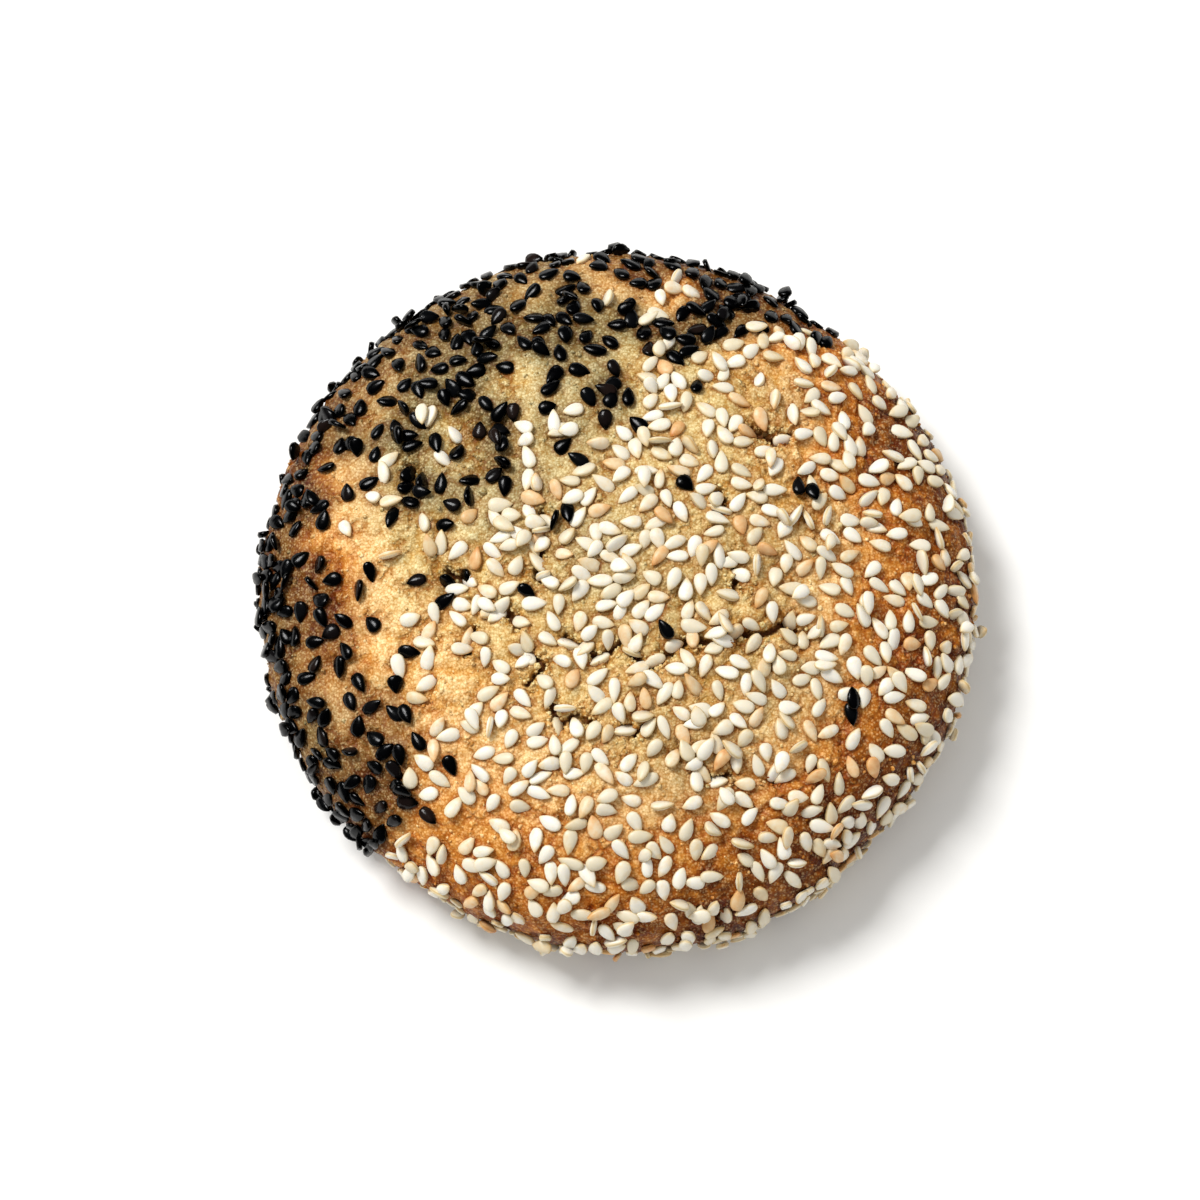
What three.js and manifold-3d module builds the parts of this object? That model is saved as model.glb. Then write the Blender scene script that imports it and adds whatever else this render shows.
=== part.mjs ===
// Sesame cookie: a thick round cookie with a low domed top, a rounded side wall and a flat base,
// coated in sesame seeds before it was baked. Dough and seeds are one solid.
// Units are millimetres. +Z is up, and the cookie lies on z = 0 with its middle on the Z axis.

import * as THREE from "three";
import { mergeVertices } from "three/addons/utils/BufferGeometryUtils.js";
import Module from "manifold-3d";

// The dough's overall size.
const DOUGH_WIDTH = 98.6;
const DOUGH_HEIGHT = 25;
const RIM_HEIGHT = 8.5; // of the widest ring, above the base
const HEEL_INSET = 5; // how far the side wall tucks in below that ring
const DOME_ROUNDNESS = 2.3; // exponents of the dome's superellipse, where 2 is an ellipse
const DOME_FULLNESS = 2.15;
const DOME_SHARE = 0.8; // share of the profile's parameter that the dome takes, the heel has the rest

// The outline seen from above isn't a true circle: [waves round the edge, height as a share of
// the radius, direction of one crest in degrees].
const OUTLINE_WAVES = [
  [2, 0.006, -54],
  [4, 0.0085, 9],
  [5, 0.003, 10],
  [8, 0.0022, -8],
];

// Lumps and hollows that the dough baked into: [x, y, radius, height].
const LUMPS = [
  [-13, 30, 8, 0.8],
  [-20, 15, 8, -0.7],
  [5, 6, 16, 0.9],
  [-26, -5, 10, -0.8],
  [-2, -8, 6, -0.7],
  [35, 1, 7, -0.8],
  [25, 25, 8, 0.7],
  [26, -16, 7, -0.8],
  [41, -19, 7, 0.8],
  [-8, -38, 9, 0.6],
  [-38, 6, 6, 0.8],
  [4, 38, 8, -0.5],
  [34, -37, 6, -1.2],
];

// Cracks that opened as the top dried: points along each, [x, y].
const CRACKS = [
  [[-13.5, 14], [-11.5, 9], [-12.5, 3], [-16, -3], [-20, -5.5]],
  [[-15, -8.5], [-9, -7], [-2, -9], [5, -7.5], [12, -6.5], [18, -7.5]],
  [[-8, -14], [-6, -18.5], [-10, -22]],
  [[17, 23], [21, 21], [26, 22]],
  [[13, -14], [17, -19], [16, -24]],
];
const CRACK_RADIUS = 0.9;
const CRACK_SIDES = 4;

// Faces of the dough.
const DOUGH_SEGMENTS = 56;
const DOUGH_RINGS = 18;

// A seed is a flat teardrop, pointed at one end.
const SEED_LENGTH = 3.15;
const SEED_WIDTH = 1.95;
const SEED_THICKNESS = 0.95;
const SEED_SIDES = 6;
const SEED_LIFT = 0.1; // its middle stands this far above the dough

// Seeds lie in staggered rows from the crown down the wall, each moved and turned at random.
const SEED_PITCH = 7.5;
const SEED_JITTER = 0.3; // of the pitch
const SEED_SIZE_SPREAD = 0.1;
const LOWEST_SEED = 0.95; // share of the way down the profile, from the crown to the base
const RANDOM_SEED = 7;

// Places that the seeds missed: [x, y, radius].
const BARE_PATCHES = [
  [-12, 28, 6],
  [-24, -6, 6.5],
  [-22, -15, 5],
  [-36, 4, 4],
];

const CRUST = new THREE.MeshStandardMaterial({
  color: 0xd9b57f,
  roughness: 0.85,
  metalness: 0,
});

const UP = new THREE.Vector3(0, 0, 1);
const wasm = await Module();
wasm.setup();

// Numbers from 0 to 1 in a fixed order.
function seededRandom(start) {
  let state = start;
  return () => {
    state = (state * 1103515245 + 12345) % 2147483648;
    return state / 2147483648;
  };
}

// Half of the dough's cross-section, from the crown over the rim and the heel to the edge of the
// flat base. A point's x is its distance from the axis and its y is its height.
class DoughProfile extends THREE.Curve {
  getPoint(t, target = new THREE.Vector2()) {
    const rim = DOUGH_WIDTH / 2;
    if (t < DOME_SHARE) {
      const angle = ((t / DOME_SHARE) * Math.PI) / 2;
      return target.set(
        rim * Math.sin(angle) ** (2 / DOME_ROUNDNESS),
        RIM_HEIGHT +
          (DOUGH_HEIGHT - RIM_HEIGHT) * Math.cos(angle) ** (2 / DOME_FULLNESS),
      );
    }
    const angle = (((t - DOME_SHARE) / (1 - DOME_SHARE)) * Math.PI) / 2;
    return target.set(
      rim - HEEL_INSET * (1 - Math.cos(angle)),
      RIM_HEIGHT * (1 - Math.sin(angle)),
    );
  }
}

const profile = new DoughProfile();

// How much wider than a circle the outline is in one direction.
function outlineScale(direction) {
  return OUTLINE_WAVES.reduce(
    (scale, [waves, height, crest]) =>
      scale +
      height * Math.cos(waves * (direction - THREE.MathUtils.degToRad(crest))),
    1,
  );
}

// Height of the lumps and hollows over a point, none of it at the base.
function relief(point) {
  const lumps = LUMPS.reduce(
    (sum, [x, y, radius, height]) =>
      sum +
      height *
        Math.exp(-((point.x - x) ** 2 + (point.y - y) ** 2) / radius ** 2),
    0,
  );
  return lumps * THREE.MathUtils.smoothstep(point.z, 0, RIM_HEIGHT);
}

// Moves a point of the even lathed dough to where the uneven cookie has it.
function shapeDough(point) {
  const scale = outlineScale(Math.atan2(point.y, point.x));
  point.set(point.x * scale, point.y * scale, point.z);
  const flat = Math.hypot(point.x, point.y) / (DOUGH_WIDTH / 2);
  const outward = new THREE.Vector3(point.x, point.y, 0)
    .setLength(flat ** 3)
    .add(UP)
    .normalize();
  return point.addScaledVector(outward, relief(point));
}

// The point of the finished dough in one direction, a share of the way down the profile.
function doughPoint(direction, share) {
  const { x, y } = profile.getPointAt(share);
  return shapeDough(
    new THREE.Vector3(x * Math.cos(direction), x * Math.sin(direction), y),
  );
}

// The point of the finished dough above [x, y].
function doughPointAbove(x, y) {
  const distance = Math.hypot(x, y) / outlineScale(Math.atan2(y, x));
  let low = 0;
  let high = DOME_SHARE;
  for (let step = 0; step < 24; step++) {
    const middle = (low + high) / 2;
    if (profile.getPoint(middle).x < distance) low = middle;
    else high = middle;
  }
  const height = profile.getPoint(low).y;
  const point = new THREE.Vector3(x, y, height);
  return point.setZ(height + relief(point));
}

// The dough's outward direction there.
function doughNormal(direction, share) {
  const step = 0.01;
  const along = doughPoint(direction, share + step).sub(
    doughPoint(direction, share - step),
  );
  const around = doughPoint(direction + step, share).sub(
    doughPoint(direction - step, share),
  );
  return along.cross(around).normalize();
}

function solidFrom(geometry) {
  const bare = geometry.index ? geometry.toNonIndexed() : geometry.clone();
  bare.deleteAttribute("normal");
  bare.deleteAttribute("uv");
  const merged = mergeVertices(bare, 1e-4);
  return new wasm.Manifold(
    new wasm.Mesh({
      numProp: 3,
      vertProperties: new Float32Array(merged.attributes.position.array),
      triVerts: new Uint32Array(merged.index.array),
    }),
  );
}

function geometryFrom(solid) {
  const { vertProperties, triVerts } = solid.getMesh();
  return new THREE.BufferGeometry()
    .setAttribute("position", new THREE.BufferAttribute(vertProperties, 3))
    .setIndex(new THREE.BufferAttribute(triVerts, 1));
}

function makeDough() {
  const outline = profile.getSpacedPoints(DOUGH_RINGS);
  outline[0].set(0, DOUGH_HEIGHT);
  outline.push(new THREE.Vector2(0, 0));
  const dough = new THREE.LatheGeometry(outline.reverse(), DOUGH_SEGMENTS);
  dough.rotateX(Math.PI / 2);
  const places = dough.attributes.position;
  const point = new THREE.Vector3();
  for (let i = 0; i < places.count; i++) {
    shapeDough(point.fromBufferAttribute(places, i));
    places.setXYZ(i, point.x, point.y, point.z);
  }
  return solidFrom(dough);
}

// A round-bottomed groove that runs out at both ends, because its cutter rises clear of the dough.
function makeCrackCutter(crack) {
  const points = crack.map(([x, y], i) => {
    const atEnd = i === 0 || i === crack.length - 1;
    return doughPointAbove(x, y).addScaledVector(UP, atEnd ? CRACK_RADIUS : 0);
  });
  const section = new THREE.Shape();
  for (let side = 0; side < CRACK_SIDES; side++) {
    const angle = (side / CRACK_SIDES) * 2 * Math.PI;
    const x = CRACK_RADIUS * Math.cos(angle);
    const y = CRACK_RADIUS * Math.sin(angle);
    if (side === 0) section.moveTo(x, y);
    else section.lineTo(x, y);
  }
  return solidFrom(
    new THREE.ExtrudeGeometry(section, {
      extrudePath: new THREE.CatmullRomCurve3(points),
      steps: crack.length * 2,
      bevelEnabled: false,
    }),
  );
}

// A teardrop along Y with its flat faces across X.
function makeSeedGeometry() {
  const half = SEED_LENGTH / 2;
  const wide = SEED_WIDTH / 2;
  const seed = new THREE.LatheGeometry(
    [
      new THREE.Vector2(0, -half),
      new THREE.Vector2(wide, -0.4 * half),
      new THREE.Vector2(0.72 * wide, 0.38 * half),
      new THREE.Vector2(0, half),
    ],
    SEED_SIDES,
  );
  const flatSideDistance = wide * Math.cos(Math.PI / SEED_SIDES);
  return seed.scale(SEED_THICKNESS / 2 / flatSideDistance, 1, 1);
}

function isBare(point) {
  return BARE_PATCHES.some(
    ([x, y, radius]) => Math.hypot(point.x - x, point.y - y) < radius,
  );
}

function makeSeeds() {
  const random = seededRandom(RANDOM_SEED);
  const spread = (amount) => (2 * random() - 1) * amount;
  const seed = makeSeedGeometry();
  const seeds = [];
  const rows = Math.round((LOWEST_SEED * profile.getLength()) / SEED_PITCH);
  for (let row = 0; row < rows; row++) {
    const rowShare = (share) => ((row + 0.5 + share) / rows) * LOWEST_SEED;
    const distance = profile.getPointAt(rowShare(0)).x;
    const count = Math.round((2 * Math.PI * distance) / SEED_PITCH);
    const turn = random() * 2 * Math.PI;
    for (let i = 0; i < count; i++) {
      const direction =
        turn + ((i + spread(SEED_JITTER)) / count) * 2 * Math.PI;
      const down = rowShare(spread(SEED_JITTER));
      const place = doughPoint(direction, down);
      const heading = random() * 2 * Math.PI;
      const size = 1 + spread(SEED_SIZE_SPREAD);
      if (isBare(place)) continue;
      const normal = doughNormal(direction, down);
      const long = new THREE.Vector3(Math.cos(heading), Math.sin(heading), 0);
      long.projectOnPlane(normal).normalize();
      const wide = normal.clone().cross(long);
      const pose = new THREE.Matrix4()
        .makeBasis(normal, long, wide)
        .scale(new THREE.Vector3(size, size, size))
        .setPosition(place.addScaledVector(normal, SEED_LIFT));
      seeds.push(solidFrom(seed.clone().applyMatrix4(pose)));
    }
  }
  return seeds;
}

function makeCookie() {
  const cracks = wasm.Manifold.union(CRACKS.map(makeCrackCutter));
  return wasm.Manifold.union([makeDough(), ...makeSeeds()]).subtract(cracks);
}

const cookie = new THREE.Mesh(geometryFrom(makeCookie()), CRUST);
cookie.name = "cookie";

const part = new THREE.Group();
part.add(cookie);

export default part;
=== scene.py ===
# Sesame cookie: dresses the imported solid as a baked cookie, with its crumbly dough, its white and black
# sesame seeds and its loose crumbs. +Z is up, and the cookie lies on z = 0 with its middle on the Z axis.

import math

import bpy
import numpy as np
from mathutils import Matrix, Vector, noise
from mathutils.bvhtree import BVHTree


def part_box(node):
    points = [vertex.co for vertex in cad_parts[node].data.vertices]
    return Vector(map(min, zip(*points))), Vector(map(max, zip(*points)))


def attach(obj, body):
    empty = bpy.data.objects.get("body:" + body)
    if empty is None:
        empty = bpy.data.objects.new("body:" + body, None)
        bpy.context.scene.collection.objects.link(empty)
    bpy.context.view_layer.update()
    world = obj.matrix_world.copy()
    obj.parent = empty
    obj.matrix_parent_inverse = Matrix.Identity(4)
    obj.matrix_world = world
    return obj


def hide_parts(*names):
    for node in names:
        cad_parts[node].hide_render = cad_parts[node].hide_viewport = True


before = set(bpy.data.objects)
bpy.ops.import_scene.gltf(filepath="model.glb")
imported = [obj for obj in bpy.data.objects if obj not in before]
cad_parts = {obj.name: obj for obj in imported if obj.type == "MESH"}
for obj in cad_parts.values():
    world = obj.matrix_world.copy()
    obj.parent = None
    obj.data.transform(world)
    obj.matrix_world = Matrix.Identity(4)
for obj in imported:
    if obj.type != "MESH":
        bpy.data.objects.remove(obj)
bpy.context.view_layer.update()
bpy.ops.object.select_all(action="DESELECT")

MM = 0.001  # metres in a millimetre

# ---------------------------------------------------------------------------------------------
# The viewpoint. The cookie is seen from nearly straight above, from about arm's length, a little
# to the front. What the photograph places by pixel is found again through this camera.

PHOTO_SIZE = 1200  # pixels
PIXELS_PER_MM = 7.2  # at the cookie's widest ring
RING_PIXEL = (616.5, 593.5)  # the middle of that ring
RING_HEIGHT = 8.5 * MM
VIEW_ELEVATION = math.radians(75)
VIEW_DISTANCE = 420 * MM
SENSOR_WIDTH = 36.0  # millimetres
NEAREST_SEEN = 10 * MM

photo_width = PHOTO_SIZE / PIXELS_PER_MM * MM
lens = SENSOR_WIDTH * VIEW_DISTANCE / photo_width
focal_pixels = PHOTO_SIZE * lens / SENSOR_WIDTH

right_of_middle = (RING_PIXEL[0] - PHOTO_SIZE / 2) / PIXELS_PER_MM * MM
below_middle = (RING_PIXEL[1] - PHOTO_SIZE / 2) / PIXELS_PER_MM * MM
aim = Vector((-right_of_middle, below_middle / math.sin(VIEW_ELEVATION), RING_HEIGHT))
towards_camera = Vector((0, -math.cos(VIEW_ELEVATION), math.sin(VIEW_ELEVATION)))

bpy.ops.object.camera_add(
    location=aim + VIEW_DISTANCE * towards_camera,
    rotation=(math.pi / 2 - VIEW_ELEVATION, 0, 0),
)
camera = bpy.context.object
camera.data.sensor_width = SENSOR_WIDTH
camera.data.lens = lens
camera.data.clip_start = NEAREST_SEEN
bpy.context.scene.camera = camera
bpy.context.view_layer.update()


def photo_pixels(points):
    """Where points of the scene show in the photograph, as an array of [x, y] in its pixels."""
    to_view = np.array(camera.matrix_world.inverted())
    seen = points @ to_view[:3, :3].T + to_view[:3, 3]
    across = PHOTO_SIZE / 2 + focal_pixels * seen[:, 0] / -seen[:, 2]
    down = PHOTO_SIZE / 2 - focal_pixels * seen[:, 1] / -seen[:, 2]
    return np.column_stack((across, down))


def point_under_pixel(surface, pixel):
    """The point of a surface that shows at a pixel of the photograph."""
    across = (pixel[0] - PHOTO_SIZE / 2) / focal_pixels
    up = (PHOTO_SIZE / 2 - pixel[1]) / focal_pixels
    ray = camera.matrix_world.to_3x3() @ Vector((across, up, -1)).normalized()
    return surface.ray_cast(camera.location, ray)[0]


# ---------------------------------------------------------------------------------------------
# The dough: a short, sandy biscuit dough, rolled into a ball by hand, pressed flat and baked until
# it cracked on top and browned at the rim. One closed mesh, shaped as its solid is, then broken up
# by lumps, cracks and crumb.

SEED_STANDS_OUT = 0.72 * MM  # how far the solid's seeds stand out of its dough
CROWN_LUMPS = 0.55 * MM  # how far its lumps lift the crown
HEEL_INSET = 5 * MM  # how far the side tucks in below the widest ring
DOME_ROUNDNESS = 2.3  # exponents of the dome's superellipse, where 2 is an ellipse
DOME_FULLNESS = 2.15

# Waves of the outline: [number round the edge, height as a share of the radius, a crest in degrees].
OUTLINE_WAVES = [
    [2, 0.006, -54],
    [4, 0.0085, 9],
    [5, 0.003, 10],
    [8, 0.0022, -8],
]

# Lumps and hollows of the top, in millimetres: [x, y, radius, height].
LUMPS = [
    [-13, 30, 8, 0.8],
    [-20, 15, 8, -0.7],
    [5, 6, 16, 0.9],
    [-26, -5, 10, -0.8],
    [-2, -8, 6, -0.7],
    [35, 1, 7, -0.8],
    [25, 25, 8, 0.7],
    [26, -16, 7, -0.8],
    [41, -19, 7, 0.8],
    [-8, -38, 9, 0.6],
    [-38, 6, 6, 0.8],
    [4, 38, 8, -0.5],
    [34, -37, 6, -1.2],
]

# Cracks in the crust, by pixel of the photograph: [half width, depth, points]. Sizes in millimetres.
CRACKS = [
    [0.53, 1.3, [(471, 627), (469, 636), (464, 643), (466, 652)]],
    [0.61, 1.4, [(448, 571), (454, 577), (462, 579)]],
    [0.70, 1.1, [(476, 602), (488, 607), (498, 609), (511, 613), (517, 622)]],
    [0.57, 1.2, [(541, 512), (543, 524), (538, 538), (541, 552), (535, 567), (540, 578)]],
    [0.49, 1.0, [(519, 648), (531, 655), (543, 664), (533, 678), (526, 684)]],
    [0.57, 1.1, [(551, 703), (558, 726), (566, 720), (577, 717), (590, 722)]],
    [0.57, 1.2, [(566, 636), (578, 643), (590, 650), (599, 657), (610, 649), (618, 643)]],
    [0.63, 1.3, [(630, 650), (643, 663), (650, 667), (664, 655), (678, 645), (692, 638), (708, 640)]],
    [0.57, 1.1, [(722, 640), (740, 632), (760, 636), (778, 628), (792, 621), (797, 632)]],
    [0.61, 1.2, [(719, 490), (722, 500), (718, 508)]],
    [0.70, 1.1, [(752, 428), (765, 433), (778, 438), (789, 434)]],
    [0.53, 1.1, [(731, 560), (738, 573), (735, 585)]],
    [0.49, 1.0, [(624, 725), (635, 731), (645, 727)]],
    [0.57, 1.1, [(700, 770), (714, 779), (729, 774)]],
    [0.70, 1.4, [(700, 915), (714, 921), (727, 917)]],
    [0.49, 0.8, [(408, 463), (411, 470), (406, 478)]],
]

# Small pits: [pixel, radius and depth in millimetres].
PITS = [
    [(425, 639), 0.7, 0.8],
    [(434, 681), 0.4, 0.6],
    [(421, 697), 0.5, 0.5],
    [(304, 469), 1.0, 1.2],
    [(440, 603), 0.4, 0.7],
    [(487, 607), 0.9, 0.7],
    [(778, 777), 1.3, 0.8],
    [(499, 677), 0.5, 0.7],
    [(348, 446), 0.6, 0.8],
    [(507, 368), 0.6, 0.5],
    [(607, 835), 0.6, 0.7],
    [(624, 765), 0.4, 0.6],
]

# Spots that baked browner or paler than the rest: [pixel, radius in pixels, amount].
BROWNED = [
    [(340, 572), 36, 0.20],
    [(304, 469), 22, 0.25],
    [(330, 745), 60, -0.04],
    [(850, 450), 60, 0.14],
    [(850, 610), 60, 0.16],
    [(435, 690), 75, 0.06],
    [(430, 420), 110, -0.20],
    [(620, 330), 120, -0.16],
    [(540, 290), 80, -0.08],
    [(440, 520), 70, -0.10],
    [(640, 470), 130, -0.12],
    [(620, 590), 120, -0.10],
    [(500, 800), 60, 0.06],
    [(480, 880), 70, -0.10],
    [(600, 890), 60, -0.04],
    [(380, 830), 60, -0.10],
    [(300, 700), 60, -0.08],
    [(650, 265), 80, 0.16],
    [(330, 385), 50, 0.08],
    [(310, 750), 60, -0.12],
    [(270, 560), 50, 0.05],
    [(250, 620), 40, -0.08],
    [(945, 440), 50, 0.10],
    [(550, 440), 40, 0.08],
    [(700, 790), 50, 0.05],
    [(690, 800), 90, -0.04],
    [(780, 640), 80, -0.05],
    [(900, 440), 50, 0.10],
    [(330, 645), 40, 0.12],
    [(255, 630), 45, -0.10],
    [(590, 930), 70, -0.06],
    [(420, 440), 60, 0.06],
    [(365, 490), 40, 0.08],
    [(510, 650), 80, -0.05],
    [(870, 740), 60, 0.03],
    [(930, 540), 60, 0.05],
]

BALL_CUTS = (15, 6)  # subdivisions of a cube's face, one after the other
FINE_CUTS = 2  # further subdivisions round cracks and pits
FINE_REACH = 1.5 * MM  # how far round them those go
BASE_COARSENESS = 5  # how many times larger the faces of the flat base are
PROFILE_STEPS = 600

FINER_FALL = 0.7  # how fast lumps get lower as they get finer
FINER_STEP = 2.1  # how many times finer each next size of them is
CRUMB_ROUNDNESS = 0.6  # of a lump of crumb, where 1 is a cone
ROUGH_SHIFT = (17.3, 5.1, 9.7)  # from one noise to the next
CRUMBLY_SHIFT = (11.9, 7.3, 3.1)

cookie_low, cookie_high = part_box("cookie")
dough_radius = (cookie_high.x - cookie_low.x) / 2 - SEED_STANDS_OUT
dough_height = cookie_high.z - SEED_STANDS_OUT - CROWN_LUMPS


def ease(value, start, end):
    """From 0 to 1 and smooth at both ends, as a value goes from start to end."""
    share = np.clip((value - start) / (end - start), 0, 1)
    return share * share * (3 - 2 * share)


def bell(gap, reach):
    """1 where a gap is nothing, about a third at its reach, and nothing well past it."""
    return np.exp(-((gap / reach) ** 2))


def read_points(mesh):
    """A mesh's vertices as an array, one row each."""
    points = np.empty(len(mesh.vertices) * 3)
    mesh.vertices.foreach_get("co", points)
    return points.reshape(-1, 3)


def read_normals(mesh):
    """A mesh's vertex normals as an array, one row each."""
    normals = np.empty(len(mesh.vertices) * 3)
    mesh.vertex_normals.foreach_get("vector", normals)
    return normals.reshape(-1, 3)


def read_faces(mesh):
    """A mesh's faces, each as a list of its corners' numbers."""
    return [list(face.vertices) for face in mesh.polygons]


def write_points(mesh, points):
    """Moves a mesh's vertices."""
    mesh.vertices.foreach_set("co", points.ravel())
    mesh.update()


def cover(mesh, name, values):
    """Stores one number for each vertex, which a material can read by name."""
    attribute = mesh.attributes.new(name, "FLOAT", "POINT")
    attribute.data.foreach_set("value", np.asarray(values, np.float32))


def surface_of(*pieces):
    """The surface of several pieces, given as their points and faces, for rays to meet."""
    points = []
    faces = []
    for piece_points, piece_faces in pieces:
        faces += [[corner + len(points) for corner in face] for face in piece_faces]
        points += [Vector(point) for point in piece_points]
    return BVHTree.FromPolygons(points, faces)


def half_section():
    """The cookie's half section from the crown to the middle of its base, as radii and heights."""
    quarter = np.linspace(0, math.pi / 2, PROFILE_STEPS)
    dome_radius = dough_radius * np.sin(quarter) ** (2 / DOME_ROUNDNESS)
    dome_height = RING_HEIGHT + (dough_height - RING_HEIGHT) * np.cos(quarter) ** (2 / DOME_FULLNESS)
    heel_radius = dough_radius - HEEL_INSET * (1 - np.cos(quarter))
    heel_height = RING_HEIGHT * (1 - np.sin(quarter))
    base_radius = np.linspace(dough_radius - HEEL_INSET, 0, PROFILE_STEPS)
    radii = np.concatenate((dome_radius, heel_radius, base_radius))
    heights = np.concatenate((dome_height, heel_height, np.zeros(PROFILE_STEPS)))
    return radii, heights


def outline_scale(direction):
    """How much wider than a circle the outline is in a direction."""
    scale = np.ones_like(direction)
    for waves, height, crest in OUTLINE_WAVES:
        scale += height * np.cos(waves * (direction - math.radians(crest)))
    return scale


def lumps(points):
    """Height of the lumps and hollows at points of the dough, none of it at the base."""
    height = np.zeros(len(points))
    for x, y, radius, lift in LUMPS:
        distance = np.hypot(points[:, 0] - x * MM, points[:, 1] - y * MM)
        height += lift * MM * bell(distance, radius * MM)
    return height * ease(points[:, 2], 0, RING_HEIGHT)


def distance_to_line(points, line):
    """The distance of each point from a line of straight stretches."""
    nearest = np.full(len(points), np.inf)
    for start, end in zip(line[:-1], line[1:]):
        along = end - start
        share = np.clip(((points - start) @ along) / (along @ along), 0, 1)
        gap = np.linalg.norm(points - start - share[:, None] * along, axis=1)
        nearest = np.minimum(nearest, gap)
    return nearest


def rough(points, size, octaves, seed):
    """Smooth noise at points, about -1 to 1, whose largest lumps are of a size."""
    shift = Vector([seed * step for step in ROUGH_SHIFT])
    return np.array(
        [noise.fractal(Vector(point) / size + shift, FINER_FALL, FINER_STEP, octaves) for point in points]
    )


def crumbly(points, size, seed):
    """Rounded lumps of a size that meet in creases, from 0 in a crease to about 1 on a lump."""
    shift = Vector([seed * step for step in CRUMBLY_SHIFT])
    nearest = [noise.voronoi(Vector(point) / size + shift)[0][:2] for point in points]
    return np.clip([second - first for first, second in nearest], 0, 1) ** CRUMB_ROUNDNESS


bpy.ops.mesh.primitive_cube_add(size=2)
dough = bpy.context.object
dough.name = "cookie_dough"
bpy.ops.object.mode_set(mode="EDIT")
for cuts in BALL_CUTS:
    bpy.ops.mesh.subdivide(number_cuts=cuts)
bpy.ops.object.mode_set(mode="OBJECT")
bpy.ops.object.shade_smooth()

# The cube becomes a ball of even cells, and the ball is pulled over the half section so that equal
# areas of the ball cover equal areas of the cookie.
ball = np.tan(read_points(dough.data) * math.pi / 4)
ball /= np.linalg.norm(ball, axis=1)[:, None]
direction = np.arctan2(ball[:, 1], ball[:, 0])
radii, heights = half_section()
steps = np.hypot(np.diff(radii), np.diff(heights))
area = steps * (radii[1:] + radii[:-1]) / 2
area[heights[1:] == 0] /= BASE_COARSENESS
area = np.concatenate(([0], np.cumsum(area)))
share = (1 - ball[:, 2]) / 2 * area[-1]
reach = np.interp(share, area, radii) * outline_scale(direction)
smooth = np.column_stack(
    (reach * np.cos(direction), reach * np.sin(direction), np.interp(share, area, heights))
)

# The lumps lift the crown and push the side out.
outward = np.column_stack((np.cos(direction), np.sin(direction), np.zeros(len(ball))))
outward *= (reach / dough_radius)[:, None] ** 3
outward[:, 2] = 1
outward /= np.linalg.norm(outward, axis=1)[:, None]
smooth += outward * lumps(smooth)[:, None]
write_points(dough.data, smooth)

# Smaller faces round the cracks and the pits.
smooth_surface = surface_of((smooth, read_faces(dough.data)))
crack_lines = [
    [np.array(point_under_pixel(smooth_surface, pixel)) for pixel in pixels] for _, _, pixels in CRACKS
]
pit_middles = [np.array(point_under_pixel(smooth_surface, pixel)) for pixel, _, _ in PITS]
centres = np.array([face.center for face in dough.data.polygons])
to_opening = [distance_to_line(centres, line) for line in crack_lines]
to_opening += [np.linalg.norm(centres - middle, axis=1) for middle in pit_middles]
bpy.ops.object.mode_set(mode="EDIT")
bpy.ops.mesh.select_mode(type="FACE")
bpy.ops.mesh.select_all(action="DESELECT")
bpy.ops.object.mode_set(mode="OBJECT")
dough.data.polygons.foreach_set("select", np.min(to_opening, axis=0) < FINE_REACH)
bpy.ops.object.mode_set(mode="EDIT")
bpy.ops.mesh.subdivide(number_cuts=FINE_CUTS)
bpy.ops.object.mode_set(mode="OBJECT")
smooth = read_points(dough.data)
smooth_normals = read_normals(dough.data)
smooth_pixels = photo_pixels(smooth)

# The crust's relief: the size of each kind of lump, and its height.
WIDE_LUMPS = (6 * MM, 0.42 * MM)
CRUMB_LUMPS = (1.8 * MM, 0.40 * MM)
GRAIN_LUMPS = (0.95 * MM, 0.20 * MM)
BLOCKS = (5 * MM, 0.55 * MM)  # of crust, and how deep the creases between them are
CRUMB_LEVEL = 0.6  # of the crust, where 0 is between the lumps of crumb and 1 on top of them
CREASE_WALL = (0.12, 0.45)  # across a block, where a crease's wall starts and ends
CREASE_RAGGEDNESS = 0.15
CREASED_PARTS = (-0.3, 0.3)  # of a noise, over which creases come in
RELIEF_STARTS = (0.2 * MM, 3 * MM)  # above the flat base
BROKEN_REACH = 3.5 * MM  # how far from a crack the crust is broken up
BROKEN_UP = 0.9  # how much higher its lumps are there

CRACK_RAGGEDNESS = 0.34 * MM
CRACK_BREAKS = 2.6 * MM  # how far apart a crack heals and opens again
CRACK_GAPES = (-1.1, -0.3)  # of a noise, over which a crack opens
CRACK_WALL = (0.4, 1.5)  # where it starts and ends, in half widths from the crack's line
CRACK_HOLLOW = (2.0 * MM, 0.60 * MM)  # reach and depth of the hollow that each crack lies in
LIP_PLACE = 2.4  # in half widths
LIP_WIDTH = 1.2
LIP_HEIGHT = 0.1  # millimetres
PIT_WALL = (0.4, 1.2)  # in radii
PIT_DARKNESS = 0.8  # of the painted shade in a pit, as a share of a crack's

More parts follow.
